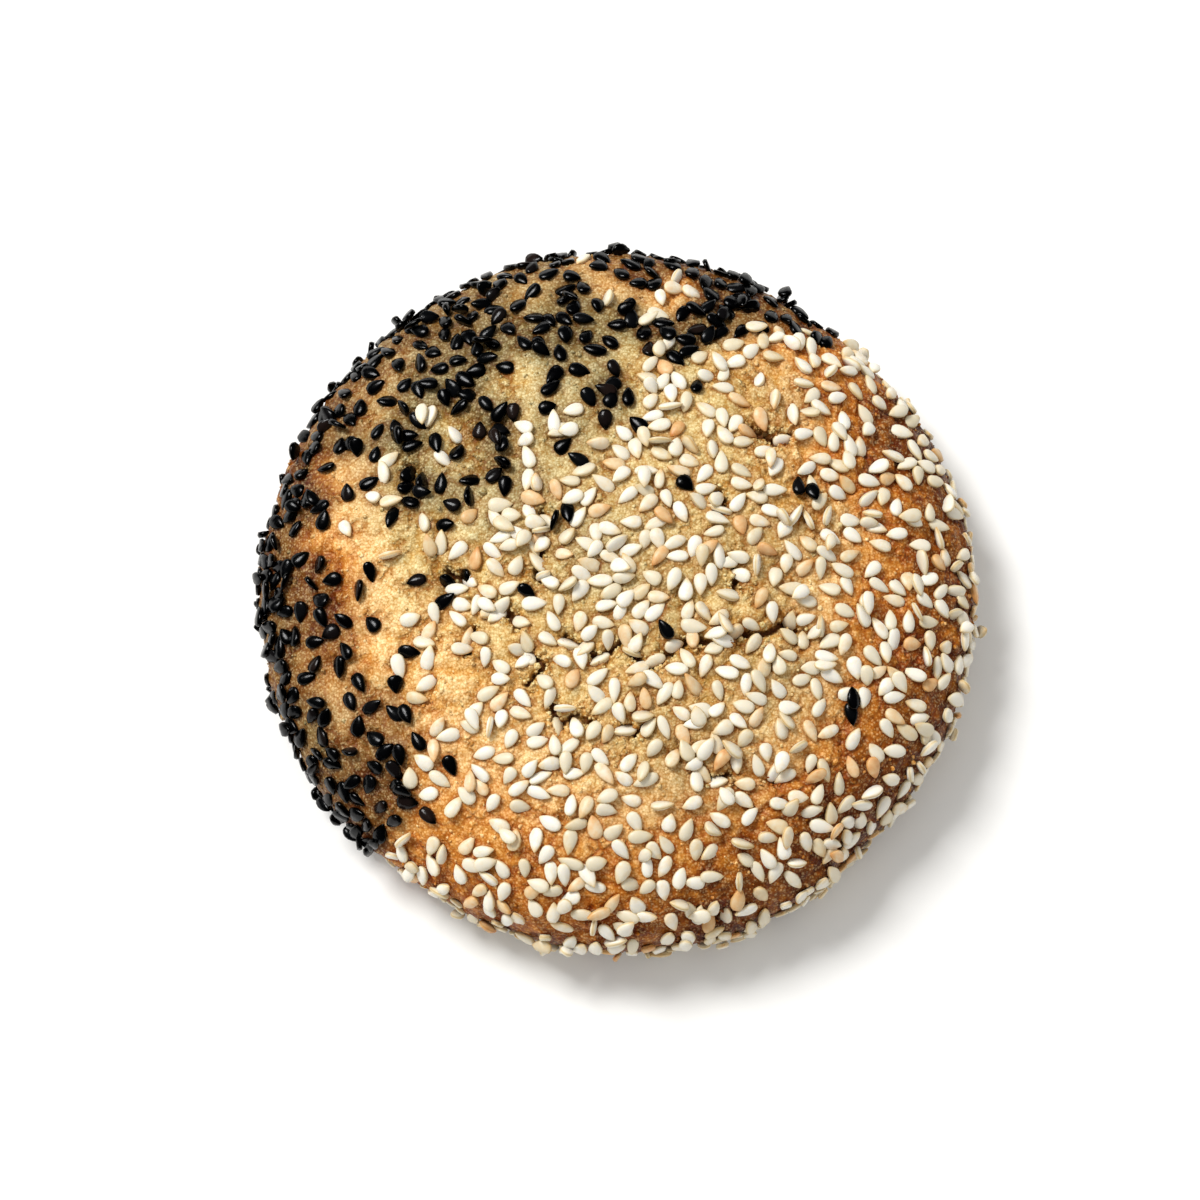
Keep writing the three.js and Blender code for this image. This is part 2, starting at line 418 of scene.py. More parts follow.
above_base = ease(smooth[:, 2], *RELIEF_STARTS)
wide = rough(smooth, WIDE_LUMPS[0], 2, 1)
crumb = crumbly(smooth, CRUMB_LUMPS[0], 2)
grain = rough(smooth, GRAIN_LUMPS[0], 3, 3)
blocks = crumbly(smooth, BLOCKS[0], 5) + CREASE_RAGGEDNESS * grain
creased = 1 - ease(blocks, *CREASE_WALL)
creased *= ease(rough(smooth, 2 * BLOCKS[0], 1, 6), *CREASED_PARTS)
to_crack = np.min([distance_to_line(smooth, line) for line in crack_lines], axis=0)
broken_up = 1 + BROKEN_UP * bell(to_crack, BROKEN_REACH)
height = ((crumb - CRUMB_LEVEL) * CRUMB_LUMPS[1] + grain * GRAIN_LUMPS[1]) * broken_up
height += wide * WIDE_LUMPS[1] - creased * BLOCKS[1]

ragged = (grain + 0.5 - crumb) * CRACK_RAGGEDNESS
gapes = ease(rough(smooth, CRACK_BREAKS, 1, 7), *CRACK_GAPES)
# opened also sets the painted shade inside cracks and pits
opened = np.zeros(len(smooth))  # how deep in a crack or a pit a point lies, from 0 to 1
in_hollow = np.zeros(len(smooth))
for (half_width, depth, _), line in zip(CRACKS, crack_lines):
    gap = distance_to_line(smooth, line) + ragged
    wall = ease(gap, CRACK_WALL[0] * half_width * MM, CRACK_WALL[1] * half_width * MM)
    open_here = gapes * (1 - wall)
    lip = bell(gap - LIP_PLACE * half_width * MM, LIP_WIDTH * half_width * MM)
    height += (LIP_HEIGHT * lip * (1 + wide) - depth * open_here) * MM
    in_hollow = np.maximum(in_hollow, bell(gap, CRACK_HOLLOW[0]))
    opened = np.maximum(opened, open_here)
for (_, radius, depth), middle in zip(PITS, pit_middles):
    gap = np.linalg.norm(smooth - middle, axis=1) + ragged
    open_here = 1 - ease(gap, PIT_WALL[0] * radius * MM, PIT_WALL[1] * radius * MM)
    height -= depth * MM * open_here
    opened = np.maximum(opened, PIT_DARKNESS * open_here)
height -= in_hollow * CRACK_HOLLOW[1]

dough_points = smooth + smooth_normals * (height * above_base)[:, None]
dough_points[:, 2] = np.maximum(dough_points[:, 2], 0)
write_points(dough.data, dough_points)
dough_faces = read_faces(dough.data)
dough_pixels = photo_pixels(dough_points)

# How brown it baked, from 0 to 1: all over, towards the rim, down the side, and darker towards the
# lower right, partly browning and partly painted shade. Then how much painted shade lies in the creases.
BROWNING = 0.32
RIM_BROWNING = 0.34
RIM_SHARES = (0.55, 0.97)  # of the radius, over which that comes in
SIDE_BROWNING = 0.16
SIDE_HEIGHTS = (2 * MM, 16 * MM)
# darker towards the lower right: partly browning, partly painted shade
LOWER_RIGHT_BROWNING_AND_SHADE = 0.15
DARK_SIDE = math.radians(50)  # from +X, clockwise as seen from above
DARK_SIDE_SHARES = (0.45, 1)  # of the radius
LUMP_BROWNING = 0.04
CREASE_DARKNESS = 0.7  # painted shade of the creases between blocks, between lumps of crumb and along cracks
CRUMB_DARKNESS = 1.1
HOLLOW_DARKNESS = 0.5

direction = np.arctan2(smooth[:, 1], smooth[:, 0])
radial = np.hypot(smooth[:, 0], smooth[:, 1]) / dough_radius
browning = BROWNING + RIM_BROWNING * ease(radial, *RIM_SHARES)
browning += SIDE_BROWNING * (1 - ease(smooth[:, 2], *SIDE_HEIGHTS))
browning += LOWER_RIGHT_BROWNING_AND_SHADE * np.cos(direction + DARK_SIDE) * ease(radial, *DARK_SIDE_SHARES)
for pixel, radius, amount in BROWNED:
    gap = np.linalg.norm(smooth_pixels - np.array(pixel), axis=1)
    browning += amount * bell(gap, radius) * above_base
browning += LUMP_BROWNING * wide
# painted shade in creases, between lumps of crumb and in the hollows round cracks
painted_crease_shade = CREASE_DARKNESS * creased + CRUMB_DARKNESS * (CRUMB_LEVEL - crumb) + HOLLOW_DARKNESS * in_hollow
cover(dough.data, "browning", np.clip(browning, 0, 1))
cover(dough.data, "opened", opened)
cover(dough.data, "painted_crease_shade", np.clip(painted_crease_shade, 0, 1))


def linear(hex_colour):
    """An sRGB hex colour as linear red, green, blue and alpha."""
    channels = [int(hex_colour[i : i + 2], 16) / 255 for i in (1, 3, 5)]
    return [c / 12.92 if c < 0.04045 else ((c + 0.055) / 1.055) ** 2.4 for c in channels] + [1]


def new_material(name):
    """A material, its node tree and its main shader."""
    made = bpy.data.materials.new(name)
    made.use_nodes = True
    return made, made.node_tree, made.node_tree.nodes["Principled BSDF"]


def add_node(tree, kind, inputs=None, **settings):
    """Adds a node with its settings. Each input is a value, or an output to link to it."""
    node = tree.nodes.new(kind)
    for key, value in settings.items():
        setattr(node, key, value)
    for key, value in (inputs or {}).items():
        if isinstance(value, bpy.types.NodeSocket):
            tree.links.new(value, node.inputs[key])
        else:
            node.inputs[key].default_value = value
    return node


def read_covers(tree, *names):
    """Adds a node for each number that is stored by vertex. Returns their outputs."""
    return [add_node(tree, "ShaderNodeAttribute", attribute_name=name).outputs["Fac"] for name in names]


def add_ramp(tree, value, stops):
    """Adds a colour ramp with its [position, colour] stops. Returns its colour."""
    ramp = add_node(tree, "ShaderNodeValToRGB", {"Fac": value})
    elements = ramp.color_ramp.elements
    while len(elements) < len(stops):
        elements.new(0.5)
    for element, (position, colour) in zip(elements, stops):
        element.position = position
        element.color = linear(colour)
    return ramp.outputs["Color"]


def add_tint(tree, shade, tint, amount=1.0):
    """Multiplies a shade by a tint, by an amount of it. Returns the new shade."""
    return add_node(
        tree,
        "ShaderNodeMix",
        {"Factor": amount, "A": shade, "B": tint},
        data_type="RGBA",
        blend_type="MULTIPLY",
    ).outputs["Result"]


# Baked short dough: matt and sandy, with a faint glint on its grains, partly real and partly painted. It
# is a dull pale gold where it rose, brighter gold round that and rust brown at the rim. Each grain of
# crumb has a tone of its own. Painted shade makes it dark amber between the grains, in hollows, in
# creases and round the seeds, and dark brown inside cracks and pits. Where black seeds lie thick it is
# greyer, partly stained by their hulls and partly painted shade among them.
CRUST_SHADES = [
    (0.05, "#ddd0a2"),
    (0.20, "#ddc992"),
    (0.38, "#f4d29a"),
    (0.54, "#e0a252"),
    (0.64, "#c67e28"),
    (0.74, "#a0600e"),
    (0.86, "#764006"),
    (1.0, "#542402"),
]
# tones of the grains, darker low between them as painted shade
GRAIN_TONES_AND_SHADE = [(0.0, "#e4c48a"), (0.2, "#f6ead2"), (0.4, "#fffcf4"), (0.6, "#ffffff")]
# painted shade in the hollows between lumps of crumb
HOLLOW_PAINTED_SHADE = "#cda86e"
CREASE_PAINTED_SHADE = "#e2c48c"
SEED_PAINTED_SHADE = "#bc843c"
STAIN_AND_PAINTED_SHADE = "#94938a"
PAINTED_GLINT = "#857a5c"
CRACK_PAINTED_SHADE = "#5c3210"
CRACK_FADE = 1.4  # exponent of the painted shade in a crack, above 1 where its wall stays light

GRAIN_SIZE = 0.36 * MM
SPECKS_ACROSS = 1.3  # a grain
LUMP_SIZE = 1.7 * MM
LUMP_SLOPE = 0.32  # share of a lump over which it falls off to a hollow
WARP_SIZE = 0.9 * MM  # of the waves that make the lumps uneven
WARP_REACH = 0.7 * MM
BROKEN_SIZE = 4 * MM  # of the patches where lumps show
BROKEN_PARTS = (0.46, 0.62)  # of a noise, over which such a patch comes in
MOTTLE_SIZE = 1.8 * MM
GRAIN_IN_MOTTLE = 0.14
MOTTLE_SPAN = (0.12, 1.02)
BROWNING_SPAN = (0.68, 1.32)  # how many times as brown the mottle makes it
GRAIN_STEPS = 0.45  # how unevenly high the grains stand
GRAIN_FALL = -0.7  # how far they fall off from their middles
PAINTED_GLINT_SPAN = (0.40, 0.76)  # of the grains' height, over which a painted glint comes in
BUMP_STRENGTH = 0.9
HOLLOW_DEPTH = 0.3 * MM
GRAIN_RELIEF = 0.1 * MM

baked_dough, tree, shader = new_material("baked_short_dough")
place = add_node(tree, "ShaderNodeTexCoord").outputs["Object"]
brown, open_crack, crease_shade_amount, painted_shade_by_seed, stain_and_shade_amount = read_covers(
    tree, "browning", "opened", "painted_crease_shade", "painted_shade_by_seed", "stain_and_shade"
)
grains = add_node(tree, "ShaderNodeTexVoronoi", {"Vector": place, "Scale": 1 / GRAIN_SIZE})
grain_draw = add_node(tree, "ShaderNodeSeparateColor", {"Color": grains.outputs["Color"]})
mottle = add_node(
    tree, "ShaderNodeTexNoise", {"Vector": place, "Scale": 1 / MOTTLE_SIZE, "Detail": 4, "Roughness": 0.6}
)
fine = add_node(
    tree,
    "ShaderNodeTexNoise",
    {"Vector": place, "Scale": SPECKS_ACROSS / GRAIN_SIZE, "Detail": 2, "Roughness": 0.6},
)
mottled = add_node(
    tree,
    "ShaderNodeMath",
    {0: grain_draw.outputs["Green"], 1: GRAIN_IN_MOTTLE, 2: mottle.outputs["Fac"]},
    operation="MULTIPLY_ADD",
)
unevenly = add_node(
    tree,
    "ShaderNodeMapRange",
    {
        "Value": mottled.outputs[0],
        "From Min": MOTTLE_SPAN[0],
        "From Max": MOTTLE_SPAN[1],
        "To Min": BROWNING_SPAN[0],
        "To Max": BROWNING_SPAN[1],
    },
)
browned = add_node(tree, "ShaderNodeMath", {0: brown, 1: unevenly.outputs[0]}, operation="MULTIPLY")
crust_shade = add_ramp(tree, browned.outputs[0], CRUST_SHADES)

# Lumps of crumb with ragged hollows between them, here and there. The hollows are bumped in and get
# painted shade.
warp = add_node(tree, "ShaderNodeTexNoise", {"Vector": place, "Scale": 1 / WARP_SIZE, "Detail": 3})
warped = add_node(
    tree,
    "ShaderNodeVectorMath",
    {0: warp.outputs["Color"], 1: (WARP_REACH,) * 3, 2: place},
    operation="MULTIPLY_ADD",
)
lump = add_node(
    tree,
    "ShaderNodeTexVoronoi",
    {"Vector": warped.outputs[0], "Scale": 1 / LUMP_SIZE},
    feature="DISTANCE_TO_EDGE",
)
lump_height = add_node(
    tree,
    "ShaderNodeMapRange",
    {"Value": lump.outputs["Distance"], "From Max": LUMP_SLOPE},
    interpolation_type="SMOOTHSTEP",
)
broken = add_node(tree, "ShaderNodeTexNoise", {"Vector": place, "Scale": 1 / BROKEN_SIZE, "Detail": 2})
brokenness = add_node(
    tree,
    "ShaderNodeMapRange",
    {"Value": broken.outputs["Fac"], "From Min": BROKEN_PARTS[0], "From Max": BROKEN_PARTS[1]},
)
on_lumps = add_node(
    tree, "ShaderNodeMath", {0: brokenness.outputs[0], 1: lump_height.outputs[0]}, operation="MULTIPLY"
)
hollow = add_node(
    tree, "ShaderNodeMath", {0: brokenness.outputs[0], 1: on_lumps.outputs[0]}, operation="SUBTRACT"
)

# Grains of uneven height, each with a tone of its own and painted shade between them, and painted glints
# on the highest.
grain_rise = add_node(
    tree,
    "ShaderNodeMath",
    {0: grain_draw.outputs["Red"], 1: GRAIN_STEPS, 2: fine.outputs["Fac"]},
    operation="MULTIPLY_ADD",
)
grain_height = add_node(
    tree,
    "ShaderNodeMath",
    {0: grains.outputs["Distance"], 1: GRAIN_FALL, 2: grain_rise.outputs[0]},
    operation="MULTIPLY_ADD",
)
grain_tone_and_shade = add_ramp(tree, grain_height.outputs[0], GRAIN_TONES_AND_SHADE)
painted_glint_amount = add_node(
    tree,
    "ShaderNodeMapRange",
    {"Value": grain_height.outputs[0], "From Min": PAINTED_GLINT_SPAN[0], "From Max": PAINTED_GLINT_SPAN[1]},
)

shade = add_tint(tree, crust_shade, grain_tone_and_shade)
# painted shade in hollows, creases and round the seeds, and a grey among black seeds that is partly stain
# and partly painted shade
for tint, amount in (
    (HOLLOW_PAINTED_SHADE, hollow.outputs[0]),
    (CREASE_PAINTED_SHADE, crease_shade_amount),
    (SEED_PAINTED_SHADE, painted_shade_by_seed),
    (STAIN_AND_PAINTED_SHADE, stain_and_shade_amount),
):
    shade = add_tint(tree, shade, linear(tint), amount)
# painted glints added on the highest grains
with_painted_glint = add_node(
    tree,
    "ShaderNodeMix",
    {"Factor": painted_glint_amount.outputs[0], "A": shade, "B": linear(PAINTED_GLINT)},
    data_type="RGBA",
    blend_type="ADD",
)
# painted shade, dark brown deep in cracks and pits
deep = add_node(tree, "ShaderNodeMath", {0: open_crack, 1: CRACK_FADE}, operation="POWER")
cracked = add_node(
    tree,
    "ShaderNodeMix",
    {"Factor": deep.outputs[0], "A": with_painted_glint.outputs["Result"], "B": linear(CRACK_PAINTED_SHADE)},
    data_type="RGBA",
)
tree.links.new(cracked.outputs["Result"], shader.inputs["Base Color"])

hollow_bump = add_node(
    tree,
    "ShaderNodeBump",
    {"Strength": BUMP_STRENGTH, "Distance": -HOLLOW_DEPTH, "Height": hollow.outputs[0]},
)
grain_bump = add_node(
    tree,
    "ShaderNodeBump",
    {
        "Strength": BUMP_STRENGTH,
        "Distance": GRAIN_RELIEF,
        "Height": grain_height.outputs[0],
        "Normal": hollow_bump.outputs[0],
    },
)
tree.links.new(grain_bump.outputs[0], shader.inputs["Normal"])
shader.inputs["Roughness"].default_value = 0.42
shader.inputs["Specular IOR Level"].default_value = 0.2
dough.data.materials.append(baked_dough)
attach(dough, "root")
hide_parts("cookie")

# ---------------------------------------------------------------------------------------------
# The sesame seeds: flat teardrops, sprinkled on the raw dough, pressed in by hand and baked on. One
# seed of each kind is modelled. Its copies are laid on the dough one by one, the last of them on top
# of others, and joined into one piece for each kind.

WHITE = "white_sesame"
BLACK = "black_sesame"
SEED_SIZES = {  # length, width and thickness
    WHITE: (3.18 * MM, 1.88 * MM, 0.86 * MM),
    BLACK: (2.95 * MM, 1.96 * MM, 0.84 * MM),
}
POINTEDNESS = {WHITE: 0.34, BLACK: 0.36}  # of the tip, where 0 is as round as the other end
FLATNESS = {WHITE: 0.3, BLACK: 0.5}  # of the face along its length, where 0 is round
THINNING = 0.5  # of the tip, where 1 is as much as it narrows

# The corners of half a face in a seed's cross-section, across and up as shares of half its width and
# thickness: its edge, the rim of the face and the middle of the face.
SEED_SECTIONS = {
    WHITE: ((1, 0), (0.80, 0.90), (0, 0.97)),
    BLACK: ((1, 0), (0.84, 0.86), (0, 0.94)),
}
SEED_SIDES = 8
SEED_RINGS = 8
END_GIRTH = 0.01  # below which a vertex is one of the two ends

# How seeds differ.
SIZE_SPREAD = 0.08  # as a share of a seed's size
SIZE_LIMITS = (0.84, 1.16)
TAPER_SPREAD = 0.08
BEND_SPREAD = 0.07
CORNER_SPREAD = 0.015 * MM  # how far the corners of a seed are out of place

# How they lie.
SEED_TILT = math.radians(8)
ON_EDGE = 0.07  # share of the seeds that stand on their edge
EDGE_ROLL = (math.radians(45), math.radians(85))
EDGE_LIFT = 0.3  # how far such a seed is lifted, as a share of its width
SINK = (0.12, 0.50)  # how deep a seed is pressed in, as shares of its thickness
CROWDING = 0.84  # how close seeds lie, where 1 is just touching
STACKED = {WHITE: 0.15, BLACK: 0.20}  # share of the seeds that lie on others
STACKED_SINK = (-0.1, 0.15)
STACK_SHIFT = (1.0 * MM, 2.2 * MM)  # how far such a seed lies from the middle of the one below
STACK_GAP = 2.6 * MM  # the least between two such seeds
SEED_DROP = 5 * MM  # the height that a seed is let down from, to find what it lands on
TOUCHING = 0.34  # where a seed touches, as a share of its size from the middle

# How many lie where.
TRIES = 24000  # places tried for seeds
WHITE_CHANCE = 0.30  # of a place
BLACK_CHANCE = 0.17
CLUMPS = 4.5 * MM  # size of the clumps that seeds fall in
CLUMPING = 0.8  # how much denser the clumps are than the rest
LOWEST_SEED = 1.6 * MM
CRACK_MARGIN = 2.0 * MM  # from a crack, within which few seeds lie
MARGIN_START = 0.6  # share of that margin with the fewest
ON_CRACKS = 0.12  # share of the usual number that lie there

LEAN = 0.001  # off the level, so that no direction drawn lies along a level normal
TINY = 1e-9  # keeps a distance of nothing from dividing

# Where black seeds were sprinkled, by pixel of the photograph. Its other corners lie off the cookie.
BLACK_REGION = [
    (860, 335),
    (790, 322),
    (748, 345),
    (700, 365),
    (655, 385),
    (625, 440),
    (590, 470),
    (550, 505),
    (500, 550),
    (462, 590),
    (428, 640),
    (405, 690),
    (425, 740),
    (425, 790),
    (400, 850),
    (360, 870),
    (200, 1000),
    (150, 150),
    (1000, 150),
]
REGION_BLUR = 11  # pixels by which the two kinds stray over the line

# Thin and thick spots: [pixel, radius in pixels, share of the usual number].
BLACK_SPOTS = [
    [(520, 395), 52, 0.08],
    [(400, 600), 55, 0.12],
    [(375, 660), 50, 0.25],
    [(350, 560), 30, 0.1],
    [(435, 700), 45, 0.15],
    [(445, 790), 40, 0.2],
    [(500, 570), 40, 0.15],
    [(440, 760), 30, 0.4],
    [(395, 865), 42, 0.2],
    [(345, 455), 60, 0.3],
    [(445, 505), 45, 0.7],
    [(560, 480), 60, 0.5],
    [(460, 345), 45, 2.6],
    [(395, 335), 40, 1.8],
    [(570, 330), 40, 2.0],
    [(710, 315), 50, 3.2],
    [(615, 380), 45, 0.4],
    [(445, 450), 35, 0.6],
    [(670, 325), 35, 0.6],
    [(330, 555), 40, 0.5],
    [(445, 625), 30, 0.3],
    [(560, 262), 50, 1.8],
    [(480, 270), 40, 1.8],
    [(680, 265), 60, 2.2],
    [(790, 285), 40, 2.6],
    [(330, 380), 40, 1.4],
    [(262, 510), 35, 2.2],
    [(262, 580), 40, 1.5],
    [(262, 640), 40, 1.1],
    [(320, 630), 35, 1.7],
    [(390, 560), 45, 0.45],
    [(320, 700), 30, 1.3],
    [(400, 725), 22, 2.0],
    [(385, 795), 40, 2.2],
]
WHITE_SPOTS = [
    [(620, 550), 90, 1.35],
    [(450, 690), 60, 0.5],
    [(920, 450), 50, 0.75],
    [(435, 695), 42, 0.05],
    [(455, 655), 35, 0.3],
    [(480, 760), 30, 0.6],
    [(575, 530), 65, 2.6],
    [(545, 570), 30, 1.8],
    [(490, 680), 40, 0.45],
    [(470, 865), 60, 0.5],
    [(800, 445), 45, 0.5],
    [(690, 690), 40, 0.7],
    [(820, 750), 60, 0.65],
    [(870, 560), 40, 0.75],
    [(690, 550), 60, 1.5],
    [(620, 450), 40, 1.6],
    [(700, 430), 50, 1.1],
    [(500, 640), 60, 0.6],
    [(570, 620), 50, 0.7],
    [(620, 650), 60, 0.7],
    [(680, 700), 50, 1.3],
    [(765, 410), 30, 0.4],
    [(540, 590), 20, 0.5],
    [(500, 725), 35, 1.5],
    [(420, 830), 50, 0.8],
    [(560, 860), 90, 0.75],
    [(700, 880), 60, 1.3],
    [(790, 290), 70, 0.3],
    [(750, 270), 50, 0.2],
    [(790, 345), 25, 1.6],
    [(880, 430), 60, 0.75],
]

# Single seeds that lie among the other kind, by pixel.
STRAY_BLACK = [
    (684, 484), (798, 487), (667, 627), (852, 712), (528, 592), (557, 523), (449, 765), (430, 818),
]
STRAY_WHITE = [
    (432, 419), (454, 435), (388, 461), (386, 472), (372, 498), (393, 501), (442, 461), (573, 409),
    (525, 426), (554, 421), (559, 432), (529, 458), (527, 480), (534, 500), (424, 522), (441, 541),
    (471, 517), (497, 518), (512, 517), (501, 538), (459, 553), (492, 552), (478, 559), (391, 556),
    (345, 530), (585, 262), (518, 566), (472, 582), (489, 590), (464, 604), (679, 283), (692, 297),
    (659, 299), (657, 316), (648, 319), (609, 300), (667, 345), (646, 379), (700, 359), (670, 395),
]

draw = np.random.default_rng(11)


def model_seed(name):
    """One seed with its tip towards +Y and its flat faces up and down."""
    length, width, thickness = SEED_SIZES[name]
    bpy.ops.mesh.primitive_uv_sphere_add(segments=SEED_SIDES, ring_count=SEED_RINGS, radius=1)
    seed = bpy.context.object
    seed.name = name
    bpy.ops.object.mode_set(mode="EDIT")
    bpy.ops.transform.rotate(value=math.pi / 2, orient_axis="X", center_override=(0, 0, 0))
    bpy.ops.object.mode_set(mode="OBJECT")
    pointedness = POINTEDNESS[name]
    widest_at = -pointedness / (1 + pointedness)
    widest = math.sqrt(1 - widest_at**2) * (1 - widest_at) ** pointedness
    for vertex in seed.data.vertices:
        x, y, z = vertex.co
        girth = math.hypot(x, z)
        narrow = max(1 - y, 0) ** pointedness / widest
        turn = math.degrees(math.atan2(abs(z), abs(x))) if girth > END_GIRTH else 0
        corner = round(turn / (360 / SEED_SIDES))
        across, up = SEED_SECTIONS[name][corner]
        vertex.co = (
            math.copysign(across, x) * girth * narrow * width / 2,
            y * length / 2,
            math.copysign(up, z) * girth ** (1 - FLATNESS[name]) * narrow**THINNING * thickness / 2,
        )
    return seed


def inside(region, pixels):
    """Which pixels lie inside a region's outline."""
    found = np.zeros(len(pixels), bool)
    for (x1, y1), (x2, y2) in zip(region, region[1:] + region[:1]):
        crosses = (y1 > pixels[:, 1]) != (y2 > pixels[:, 1])
        slope = (x2 - x1) / (y2 - y1) if y2 != y1 else 0
        found ^= crosses & (pixels[:, 0] < x1 + (pixels[:, 1] - y1) * slope)
    return found


def amount_at(spots, pixels):
    """The share of the usual number of seeds at pixels."""
    amount = np.ones(len(pixels))
    for pixel, radius, share in spots:
        gap = np.linalg.norm(pixels - np.array(pixel), axis=1)
        amount *= 1 + (share - 1) * bell(gap, radius)
    return amount


def heading(normal):
    """A direction along the surface, drawn at random."""
    turn = draw.uniform(0, 2 * math.pi)
    side = np.cross((math.cos(turn), math.sin(turn), LEAN), normal)
    return side / np.linalg.norm(side)


def reach_of(kind, tip, toward):
    """How far a seed reaches from its middle in a direction along the surface."""
    length, width, _ = SEED_SIZES[kind]
    cosine = min(abs(float(tip @ toward)), 1)
    return 0.5 / math.hypot(cosine / length, math.sqrt(1 - cosine * cosine) / width)


seeds = []  # of each: its kind, its place, the surface's normal there and the direction of its tip


def has_room(kind, place, tip):
    """Whether a seed stays clear of those that lie there already."""
    if not seeds:
        return True
    gaps = np.array([other[1] for other in seeds]) - place
    distances = np.linalg.norm(gaps, axis=1)
    for number in np.nonzero(distances < SEED_SIZES[WHITE][0])[0]:
        other_kind, _, _, other_tip = seeds[number]
        toward = gaps[number] / max(distances[number], TINY)
        needed = reach_of(kind, tip, toward) + reach_of(other_kind, other_tip, toward)
        if distances[number] < CROWDING * needed:
            return False
    return True


for strays, kind in ((STRAY_BLACK, BLACK), (STRAY_WHITE, WHITE)):
    for pixel in strays:
        gaps = np.linalg.norm(dough_pixels - np.array(pixel), axis=1)
        gaps[smooth[:, 2] < RING_HEIGHT] = np.inf
        vertex = int(np.argmin(gaps))
        normal = smooth_normals[vertex]
        seeds.append((kind, dough_points[vertex], normal, heading(normal)))

coated = np.nonzero(smooth[:, 2] > LOWEST_SEED)[0]
coated = draw.permutation(coated)[:TRIES]
black_here = inside(BLACK_REGION, dough_pixels[coated] + draw.normal(0, REGION_BLUR, (len(coated), 2)))
chance = np.where(
    black_here,
    BLACK_CHANCE * amount_at(BLACK_SPOTS, dough_pixels[coated]),
    WHITE_CHANCE * amount_at(WHITE_SPOTS, dough_pixels[coated]),
)
chance *= 1 + CLUMPING * rough(dough_points[coated], CLUMPS, 1, 4)
off_crack = ease(to_crack[coated], MARGIN_START * CRACK_MARGIN, CRACK_MARGIN)
chance *= ON_CRACKS + (1 - ON_CRACKS) * off_crack
chosen = draw.uniform(0, 1, len(coated)) < chance
for vertex, is_black in zip(coated[chosen], black_here[chosen]):
    kind = BLACK if is_black else WHITE
    tip = heading(smooth_normals[vertex])
    if has_room(kind, dough_points[vertex], tip):
        seeds.append((kind, dough_points[vertex], smooth_normals[vertex], tip))


def bed_under(surface, kind, place, normal, tip):
    """The bed that a seed finds on a surface: its middle, and its axes across, along and up."""
    length, width, _ = SEED_SIZES[kind]
    normal = Vector(normal)
    tip = Vector(tip)
    side = tip.cross(normal)
    touched = []
    for offset in (tip * length, tip * -length, side * width, side * -width):
        start = Vector(place) + TOUCHING * offset + normal * SEED_DROP
        hit = surface.ray_cast(start, -normal, 2 * SEED_DROP)[0]
        touched.append(hit or start - normal * SEED_DROP)
    along = (touched[0] - touched[1]).normalized()
    up = (touched[2] - touched[3]).cross(along).normalized()
    middle = sum(touched, Vector()) / len(touched)
    ridge = surface.ray_cast(middle + SEED_DROP * up, -up, 2 * SEED_DROP)[0]
    touched.append(ridge or middle)
    middle += up * max((point - middle).dot(up) for point in touched)
    return middle, along.cross(up), along, up


def lay_copies(model, surface, laid, sink):
    """Lays a copy of a modelled seed for each seed of its kind. Returns the copies' points."""
    length, width, thickness = SEED_SIZES[model.name]
    local = read_points(model.data)
    copies = []
    for kind, place, normal, tip in laid:
        if kind != model.name:
            continue
        middle, across, along, up = bed_under(surface, kind, place, normal, tip)
        roll = draw.normal(0, SEED_TILT)
        if draw.uniform() < ON_EDGE:
            roll = draw.choice((-1, 1)) * draw.uniform(*EDGE_ROLL)
        pitch = draw.normal(0, SEED_TILT)
        turned = Matrix((across, along, up)).transposed()
        turned = turned @ Matrix.Rotation(roll, 3, "Y") @ Matrix.Rotation(pitch, 3, "X")
        rise = thickness * (0.5 - draw.uniform(*sink)) + abs(math.sin(roll)) * width * EDGE_LIFT
        shape = local * draw.normal(1, SIZE_SPREAD, 3).clip(*SIZE_LIMITS)
        shape += draw.normal(0, CORNER_SPREAD, shape.shape)
        shape[:, 0] *= 1 + draw.normal(0, TAPER_SPREAD) * shape[:, 1] / (length / 2)
        shape[:, 0] += draw.normal(0, BEND_SPREAD) * shape[:, 1] ** 2 / length
        points = shape @ np.array(turned).T + np.array(middle + up * rise)
        if points[:, 2].min() > 0:
            copies.append(points)
    return copies


def join_copies(copies, shape_faces):
    """The points and faces of many copies of a shape, as one mesh."""
    count = len(copies[0])
    faces = [[corner + i * count for corner in face] for i in range(len(copies)) for face in shape_faces]
    return np.concatenate(copies), faces


def fill_mesh(mesh, points, faces):
    """Gives a mesh new points and smooth faces."""
    mesh.clear_geometry()
    mesh.from_pydata(points.tolist(), [], faces)
    mesh.polygons.foreach_set("use_smooth", np.ones(len(faces), bool))
    mesh.update()


models = {kind: model_seed(kind) for kind in SEED_SIZES}
seed_faces = {kind: read_faces(model.data) for kind, model in models.items()}
dough_surface = surface_of((dough_points, dough_faces))
copies = {kind: lay_copies(model, dough_surface, seeds, SINK) for kind, model in models.items()}

# The last seeds land on those that lie there already, and tilt on them.
first_layer = surface_of(
    (dough_points, dough_faces), *(join_copies(copies[kind], seed_faces[kind]) for kind in models)
)
on_top = []
for kind, place, normal, _ in seeds:
    if draw.uniform() < STACKED[kind]:
        place = place + heading(normal) * draw.uniform(*STACK_SHIFT)
        if all(np.linalg.norm(place - other) > STACK_GAP for _, other, _, _ in on_top):
            on_top.append((kind, place, normal, heading(normal)))
for kind, model in models.items():
    copies[kind] += lay_copies(model, first_layer, on_top, STACKED_SINK)

